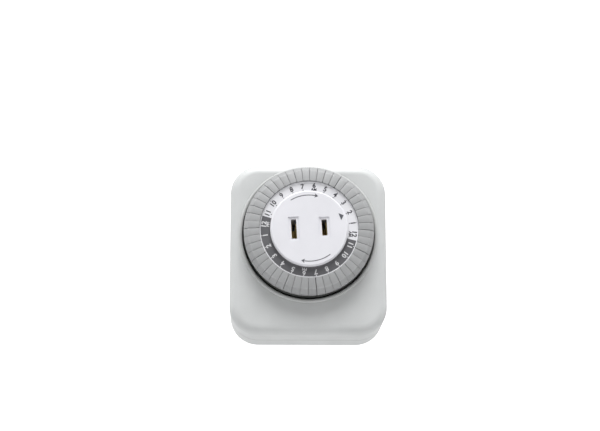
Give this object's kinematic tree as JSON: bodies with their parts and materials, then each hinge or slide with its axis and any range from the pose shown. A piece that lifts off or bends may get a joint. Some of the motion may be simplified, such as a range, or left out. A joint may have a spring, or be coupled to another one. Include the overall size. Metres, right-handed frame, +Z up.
{
  "type": "plug-in timer switch",
  "caption": "Plug-in 24-hour mechanical timer switch: dial of push pins round a fixed two-slot outlet, with a gear motor, switch lever and plug blades.",
  "frame": {"origin": "point where the dial's axis meets the flat back face, which lies against the wall", "axes": "+Z up the wall along the housing's height, +Y from the front face back into the wall, +X to the right as seen from the front"},
  "size_m": [0.066, 0.0571, 0.073],
  "materials": {
    "housing": "fine matte",
    "screw_steel": "zinc plated",
    "chassis": "satin",
    "motor_steel": "satin",
    "bobbin": "satin",
    "copper": "enamelled wire",
    "magnet": "satin",
    "lead": "satin",
    "train_gear": "satin acetal",
    "spring_steel": "bright",
    "outlet_white": "satin gloss",
    "brass": "satin",
    "lever": "satin",
    "slider": "satin",
    "drum": "satin",
    "ring": "satin print",
    "pin": "satin"
  },
  "bodies": {
    "housing": {"front_cover": "housing", "rear_cover": "housing", "case_screws": "screw_steel", "chassis_plate": "chassis", "mechanism_screws": "screw_steel", "gear_arbors": "screw_steel", "motor_cup": "motor_steel", "pole_plate": "motor_steel", "coil_bobbin": "bobbin", "coil_winding": "copper", "motor_leads": "lead", "outlet_post": "outlet_white", "outlet_face": "outlet_white", "neutral_contact": "brass", "hot_contact": "brass", "neutral_bus": "brass", "load_bus": "brass", "neutral_blade": "brass", "hot_blade": "brass", "terminal_rivets": "brass", "fixed_contact": "brass", "lever_pin": "screw_steel", "lever_spring": "spring_steel"},
    "dial": {"dial_drum": "drum", "hour_ring": "ring"},
    "lever": {"follower_lever": "lever", "moving_contact": "brass"},
    "slider": {"override_slider": "slider"},
    "rotor": {"rotor": "magnet"},
    "wheel_1": {"wheel_1": "train_gear"},
    "wheel_2": {"wheel_2": "train_gear"},
    "wheel_3": {"wheel_3": "train_gear"},
    "wheel_4": {"wheel_4": "train_gear"},
    "clutch_wheel": {"clutch_wheel": "train_gear"},
    "output_shaft": {"final_pinion": "train_gear", "clutch_spring": "spring_steel"},
    "push_pins_01": {"push_pins_01": "pin"},
    "push_pins_02": {"push_pins_02": "pin"},
    "push_pins_03": {"push_pins_03": "pin"},
    "push_pins_04": {"push_pins_04": "pin"},
    "push_pins_05": {"push_pins_05": "pin"},
    "push_pins_06": {"push_pins_06": "pin"},
    "push_pins_07": {"push_pins_07": "pin"},
    "push_pins_08": {"push_pins_08": "pin"},
    "push_pins_09": {"push_pins_09": "pin"},
    "push_pins_10": {"push_pins_10": "pin"},
    "push_pins_11": {"push_pins_11": "pin"},
    "push_pins_12": {"push_pins_12": "pin"},
    "push_pins_13": {"push_pins_13": "pin"},
    "push_pins_14": {"push_pins_14": "pin"},
    "push_pins_15": {"push_pins_15": "pin"},
    "push_pins_16": {"push_pins_16": "pin"},
    "push_pins_17": {"push_pins_17": "pin"},
    "push_pins_18": {"push_pins_18": "pin"},
    "push_pins_19": {"push_pins_19": "pin"},
    "push_pins_20": {"push_pins_20": "pin"},
    "push_pins_21": {"push_pins_21": "pin"},
    "push_pins_22": {"push_pins_22": "pin"},
    "push_pins_23": {"push_pins_23": "pin"},
    "push_pins_24": {"push_pins_24": "pin"}
  },
  "joints": [
    {"name": "dial_turn", "type": "hinge", "parent": "housing", "child": "dial", "pos_m": [0, 0, 0], "axis": [0, 1, 0], "continuous": true},
    {"name": "output_spin", "type": "hinge", "parent": "housing", "child": "output_shaft", "pos_m": [-0.01505, 0, -0.01317], "axis": [0, 1, 0], "continuous": true},
    {"name": "rotor_spin", "type": "hinge", "parent": "housing", "child": "rotor", "pos_m": [0, 0, -0.022], "axis": [0, 1, 0], "continuous": true},
    {"name": "wheel_1_spin", "type": "hinge", "parent": "housing", "child": "wheel_1", "pos_m": [0.00875, 0, -0.01715], "axis": [0, 1, 0], "continuous": true},
    {"name": "wheel_2_spin", "type": "hinge", "parent": "housing", "child": "wheel_2", "pos_m": [0.01224, 0, -0.02758], "axis": [0, 1, 0], "continuous": true},
    {"name": "wheel_3_spin", "type": "hinge", "parent": "housing", "child": "wheel_3", "pos_m": [0.0013, 0, -0.02877], "axis": [0, 1, 0], "continuous": true},
    {"name": "wheel_4_spin", "type": "hinge", "parent": "housing", "child": "wheel_4", "pos_m": [-0.00407, 0, -0.01889], "axis": [0, 1, 0], "continuous": true},
    {"name": "clutch_wheel_spin", "type": "hinge", "parent": "housing", "child": "clutch_wheel", "pos_m": [-0.01505, 0, -0.01317], "axis": [0, 1, 0], "continuous": true},
    {"name": "lever_rock", "type": "hinge", "parent": "housing", "child": "lever", "pos_m": [0.02227, -0.0222, -0.01], "axis": [-1, 0, 0], "range_deg": [0, 8], "stiffness_Nm_per_rad": 0.02, "springref_deg": -5.73, "deforming": ["lever_spring"]},
    {"name": "override_slide", "type": "slide", "parent": "housing", "child": "slider", "axis": [0, 0, 1], "range_m": [-0.0021, 0.0021]},
    {"name": "pins_01_push", "type": "slide", "parent": "dial", "child": "push_pins_01", "axis": [0, 1, 0], "range_m": [0, 0.0028]},
    {"name": "pins_02_push", "type": "slide", "parent": "dial", "child": "push_pins_02", "axis": [0, 1, 0], "range_m": [0, 0.0028]},
    {"name": "pins_03_push", "type": "slide", "parent": "dial", "child": "push_pins_03", "axis": [0, 1, 0], "range_m": [0, 0.0028]},
    {"name": "pins_04_push", "type": "slide", "parent": "dial", "child": "push_pins_04", "axis": [0, 1, 0], "range_m": [0, 0.0028]},
    {"name": "pins_05_push", "type": "slide", "parent": "dial", "child": "push_pins_05", "axis": [0, 1, 0], "range_m": [0, 0.0028]},
    {"name": "pins_06_push", "type": "slide", "parent": "dial", "child": "push_pins_06", "axis": [0, 1, 0], "range_m": [0, 0.0028]},
    {"name": "pins_07_push", "type": "slide", "parent": "dial", "child": "push_pins_07", "axis": [0, 1, 0], "range_m": [0, 0.0028]},
    {"name": "pins_08_push", "type": "slide", "parent": "dial", "child": "push_pins_08", "axis": [0, 1, 0], "range_m": [0, 0.0028]},
    {"name": "pins_09_push", "type": "slide", "parent": "dial", "child": "push_pins_09", "axis": [0, 1, 0], "range_m": [0, 0.0028]},
    {"name": "pins_10_push", "type": "slide", "parent": "dial", "child": "push_pins_10", "axis": [0, 1, 0], "range_m": [0, 0.0028]},
    {"name": "pins_11_push", "type": "slide", "parent": "dial", "child": "push_pins_11", "axis": [0, 1, 0], "range_m": [0, 0.0028]},
    {"name": "pins_12_push", "type": "slide", "parent": "dial", "child": "push_pins_12", "axis": [0, 1, 0], "range_m": [0, 0.0028]},
    {"name": "pins_13_push", "type": "slide", "parent": "dial", "child": "push_pins_13", "axis": [0, 1, 0], "range_m": [0, 0.0028]},
    {"name": "pins_14_push", "type": "slide", "parent": "dial", "child": "push_pins_14", "axis": [0, 1, 0], "range_m": [0, 0.0028]},
    {"name": "pins_15_push", "type": "slide", "parent": "dial", "child": "push_pins_15", "axis": [0, 1, 0], "range_m": [0, 0.0028]},
    {"name": "pins_16_push", "type": "slide", "parent": "dial", "child": "push_pins_16", "axis": [0, 1, 0], "range_m": [0, 0.0028]},
    {"name": "pins_17_push", "type": "slide", "parent": "dial", "child": "push_pins_17", "axis": [0, 1, 0], "range_m": [0, 0.0028]},
    {"name": "pins_18_push", "type": "slide", "parent": "dial", "child": "push_pins_18", "axis": [0, 1, 0], "range_m": [0, 0.0028]},
    {"name": "pins_19_push", "type": "slide", "parent": "dial", "child": "push_pins_19", "axis": [0, 1, 0], "range_m": [0, 0.0028]},
    {"name": "pins_20_push", "type": "slide", "parent": "dial", "child": "push_pins_20", "axis": [0, 1, 0], "range_m": [0, 0.0028]},
    {"name": "pins_21_push", "type": "slide", "parent": "dial", "child": "push_pins_21", "axis": [0, 1, 0], "range_m": [0, 0.0028]},
    {"name": "pins_22_push", "type": "slide", "parent": "dial", "child": "push_pins_22", "axis": [0, 1, 0], "range_m": [0, 0.0028]},
    {"name": "pins_23_push", "type": "slide", "parent": "dial", "child": "push_pins_23", "axis": [0, 1, 0], "range_m": [0, 0.0028]},
    {"name": "pins_24_push", "type": "slide", "parent": "dial", "child": "push_pins_24", "axis": [0, 1, 0], "range_m": [0, 0.0028]}
  ],
  "couplings": [
    {"joint": "output_spin", "follows": "dial_turn", "ratio": -9},
    {"joint": "wheel_1_spin", "follows": "rotor_spin", "ratio": -0.11111},
    {"joint": "wheel_2_spin", "follows": "rotor_spin", "ratio": 0.011111},
    {"joint": "wheel_3_spin", "follows": "rotor_spin", "ratio": -0.0011111},
    {"joint": "wheel_4_spin", "follows": "rotor_spin", "ratio": 0.00013889},
    {"joint": "clutch_wheel_spin", "follows": "rotor_spin", "ratio": -0.000013889}
  ]
}
